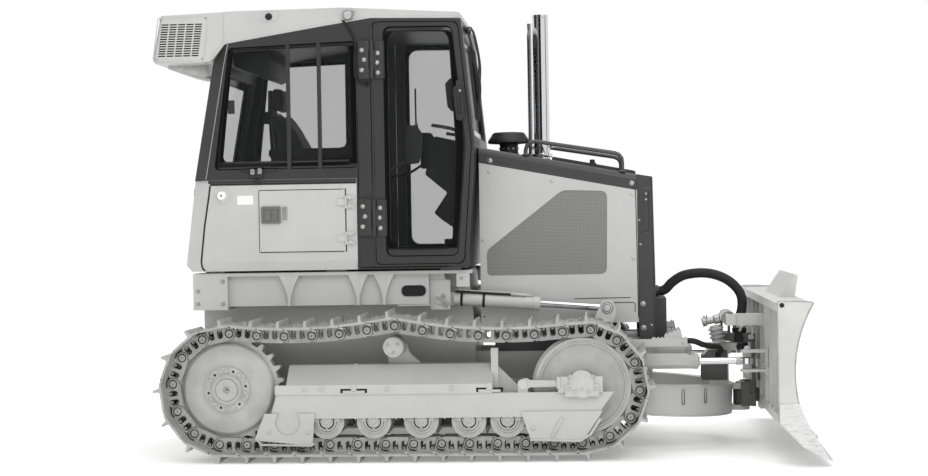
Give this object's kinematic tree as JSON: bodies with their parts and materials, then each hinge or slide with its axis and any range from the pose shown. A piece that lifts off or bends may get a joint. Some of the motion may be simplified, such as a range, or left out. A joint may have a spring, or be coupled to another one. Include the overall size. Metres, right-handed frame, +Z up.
{
  "type": "crawler bulldozer",
  "caption": "Small crawler dozer with an enclosed cab, two track assemblies and a front blade that lifts, angles and tilts on a push frame moved by cylinders.",
  "frame": {"origin": "on the ground, under the middle of the machine's box", "axes": "+X ahead towards the blade, +Y to the machine's left, +Z up"},
  "size_m": [4.111, 2.667, 2.797],
  "materials": {
    "body_paint": "satin pale grey paint",
    "dark_paint": "satin dark grey paint",
    "track_steel": "painted forged steel, worn",
    "blade_paint": "satin pale paint",
    "edge_steel": "ground steel",
    "screen_steel": "perforated painted steel",
    "chrome": "polished chrome",
    "black_plastic": "moulded plastic",
    "seat_fabric": "woven seat cloth",
    "hose_rubber": "sleeved hose",
    "cab_glass": "tinted safety glass"
  },
  "bodies": {
    "chassis": {"main_frame": "body_paint", "drawbar": "dark_paint", "right_track_frame": "body_paint", "left_track_frame": "body_paint", "right_track": "track_steel", "left_track": "track_steel", "right_sprocket": "body_paint", "left_sprocket": "body_paint", "right_idler": "body_paint", "left_idler": "body_paint", "right_rollers": "body_paint", "left_rollers": "body_paint", "rear_body": "body_paint", "cab_frame": "dark_paint", "cab_roof": "body_paint", "climate_unit": "body_paint", "cab_glass": "cab_glass", "seat_base": "black_plastic", "seat_cushions": "seat_fabric", "dash_console": "black_plastic", "hood_top": "dark_paint", "hood_sides": "body_paint", "side_screens": "screen_steel", "radiator_guard": "dark_paint", "engine_block": "dark_paint", "exhaust_stack": "chrome", "air_precleaner": "black_plastic", "hood_rails": "dark_paint", "upper_hose": "hose_rubber"},
    "right_door": {"right_door": "dark_paint", "right_door_glass": "cab_glass"},
    "left_door": {"left_door": "dark_paint", "left_door_glass": "cab_glass"},
    "right_service_door": {"right_service_door": "body_paint"},
    "left_service_door": {"left_service_door": "body_paint"},
    "push_frame": {"push_frame": "body_paint", "lower_hose": "hose_rubber"},
    "blade_swivel": {"blade_swivel": "body_paint"},
    "blade": {"blade": "blade_paint", "cutting_edge": "edge_steel"},
    "right_lift_barrel": {"right_lift_barrel": "body_paint"},
    "right_lift_rod": {"right_lift_rod": "chrome"},
    "right_angle_barrel": {"right_angle_barrel": "body_paint"},
    "right_angle_rod": {"right_angle_rod": "chrome"},
    "left_lift_barrel": {"left_lift_barrel": "body_paint"},
    "left_lift_rod": {"left_lift_rod": "chrome"},
    "left_angle_barrel": {"left_angle_barrel": "body_paint"},
    "left_angle_rod": {"left_angle_rod": "chrome"},
    "tilt_barrel": {"tilt_barrel": "body_paint"},
    "tilt_rod": {"tilt_rod": "chrome"}
  },
  "joints": [
    {"name": "lift", "type": "hinge", "parent": "chassis", "child": "push_frame", "pos_m": [-0.0075, 0, 0.385], "axis": [0, -1, 0], "range_deg": [-15.7, 23], "deforming": ["upper_hose"]},
    {"name": "angle", "type": "hinge", "parent": "push_frame", "child": "blade_swivel", "pos_m": [1.6225, 0, 0.3], "axis": [0, 0, 1], "range_deg": [-25, 25]},
    {"name": "tilt", "type": "hinge", "parent": "blade_swivel", "child": "blade", "pos_m": [1.6225, 0, 0.3], "axis": [1, 0, 0], "range_deg": [-8, 8]},
    {"name": "right_door_hinge", "type": "hinge", "parent": "chassis", "child": "right_door", "pos_m": [-0.6675, -0.676, 1.9], "axis": [0, 0, -1], "range_deg": [0, 90]},
    {"name": "right_service_hinge", "type": "hinge", "parent": "chassis", "child": "right_service_door", "pos_m": [-0.8445, -0.669, 1.473], "axis": [0, 0, 1], "range_deg": [0, 100]},
    {"name": "left_door_hinge", "type": "hinge", "parent": "chassis", "child": "left_door", "pos_m": [-0.6675, 0.676, 1.9], "axis": [0, 0, 1], "range_deg": [0, 90]},
    {"name": "left_service_hinge", "type": "hinge", "parent": "chassis", "child": "left_service_door", "pos_m": [-0.8445, 0.669, 1.473], "axis": [0, 0, -1], "range_deg": [0, 100]},
    {"name": "right_lift_swing", "type": "hinge", "parent": "chassis", "child": "right_lift_barrel", "pos_m": [-0.2725, -0.5, 0.975], "axis": [0, -1, 0], "range_deg": [-15, 20]},
    {"name": "right_lift_stroke", "type": "slide", "parent": "right_lift_barrel", "child": "right_lift_rod", "axis": [0.9973, 0, -0.0737], "range_m": [-0.26, 0.18]},
    {"name": "left_lift_swing", "type": "hinge", "parent": "chassis", "child": "left_lift_barrel", "pos_m": [-0.2725, 0.5, 0.975], "axis": [0, -1, 0], "range_deg": [-15, 20]},
    {"name": "left_lift_stroke", "type": "slide", "parent": "left_lift_barrel", "child": "left_lift_rod", "axis": [0.9973, 0, -0.0737], "range_m": [-0.26, 0.18]},
    {"name": "right_angle_swing", "type": "hinge", "parent": "push_frame", "child": "right_angle_barrel", "pos_m": [0.8175, -0.485, 0.556], "axis": [0, 0.8844, -0.4668], "range_deg": [-6, 6]},
    {"name": "right_angle_stroke", "type": "slide", "parent": "right_angle_barrel", "child": "right_angle_rod", "axis": [1, 0, 0], "range_m": [-0.22, 0.22]},
    {"name": "left_angle_swing", "type": "hinge", "parent": "push_frame", "child": "left_angle_barrel", "pos_m": [0.8175, 0.485, 0.556], "axis": [0, -0.8844, -0.4668], "range_deg": [-6, 6]},
    {"name": "left_angle_stroke", "type": "slide", "parent": "left_angle_barrel", "child": "left_angle_rod", "axis": [1, 0, 0], "range_m": [-0.22, 0.22]},
    {"name": "tilt_swing", "type": "hinge", "parent": "blade_swivel", "child": "tilt_barrel", "pos_m": [1.5445, 0.19, 0.805], "axis": [1, 0, 0], "range_deg": [-6, 6]},
    {"name": "tilt_stroke", "type": "slide", "parent": "tilt_barrel", "child": "tilt_rod", "axis": [0, -1, 0], "range_m": [-0.08, 0.08]}
  ],
  "couplings": [
    {"joint": "right_lift_swing", "follows": "lift", "ratio": 0.73},
    {"joint": "right_lift_stroke", "follows": "lift", "m_per_rad": -0.58},
    {"joint": "left_lift_swing", "follows": "lift", "ratio": 0.73},
    {"joint": "left_lift_stroke", "follows": "lift", "m_per_rad": -0.58},
    {"joint": "right_angle_swing", "follows": "tilt", "ratio": 0.67044},
    {"joint": "right_angle_stroke", "follows": "angle", "m_per_rad": 0.47654},
    {"joint": "left_angle_swing", "follows": "tilt", "ratio": 0.67044},
    {"joint": "left_angle_stroke", "follows": "angle", "m_per_rad": -0.47654},
    {"joint": "tilt_swing", "follows": "tilt", "ratio": 0.62},
    {"joint": "tilt_stroke", "follows": "tilt", "m_per_rad": 0.505}
  ]
}
